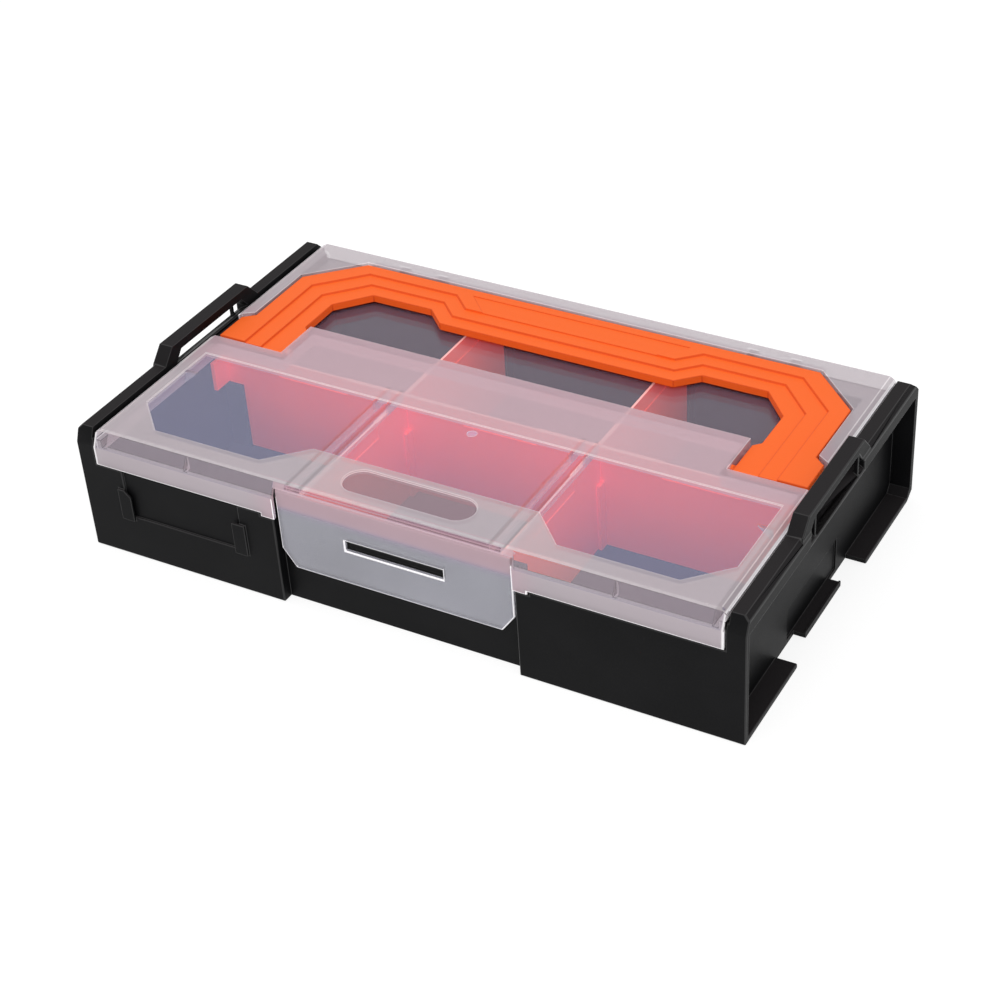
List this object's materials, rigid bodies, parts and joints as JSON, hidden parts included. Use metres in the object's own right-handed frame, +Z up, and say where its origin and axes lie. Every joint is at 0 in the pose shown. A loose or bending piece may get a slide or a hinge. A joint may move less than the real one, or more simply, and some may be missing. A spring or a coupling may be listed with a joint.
{
  "type": "interlocking organizer box",
  "caption": "Flat organizer box with a clear hinged lid, fold-flat carry handle, snap flap, removable dividers, and end loops and tabs that lock it to the next box.",
  "frame": {"origin": "middle of the tray's underside", "axes": "+X along the width, +Y from the latch flap to the hinges, +Z up"},
  "size_m": [0.26, 0.153, 0.0572],
  "materials": {
    "black_plastic": "satin moulded, fine texture",
    "clear_plastic": "translucent, frosted frame with polished windows",
    "orange_plastic": "satin moulded",
    "divider_plastic": "satin moulded"
  },
  "bodies": {
    "tray": {"base_tray": "black_plastic", "long_divider": "divider_plastic", "front_left_divider": "divider_plastic", "front_right_divider": "divider_plastic", "rear_left_divider": "divider_plastic", "rear_right_divider": "divider_plastic"},
    "lid": {"lid": "clear_plastic"},
    "handle": {"carry_handle": "orange_plastic"},
    "latch": {"latch_flap": "clear_plastic"}
  },
  "joints": [
    {"name": "lid_hinge", "type": "hinge", "parent": "tray", "child": "lid", "pos_m": [0, 0.073, 0.0455], "axis": [-1, 0, 0], "range_deg": [0, 105]},
    {"name": "handle_hinge", "type": "hinge", "parent": "lid", "child": "handle", "pos_m": [0, 0.0006, 0.04855], "axis": [1, 0, 0], "range_deg": [0, 90]},
    {"name": "latch_bend", "type": "hinge", "parent": "lid", "child": "latch", "pos_m": [0, -0.074, 0.0474], "axis": [-1, 0, 0], "range_deg": [0, 25], "stiffness_Nm_per_rad": 0.05}
  ]
}
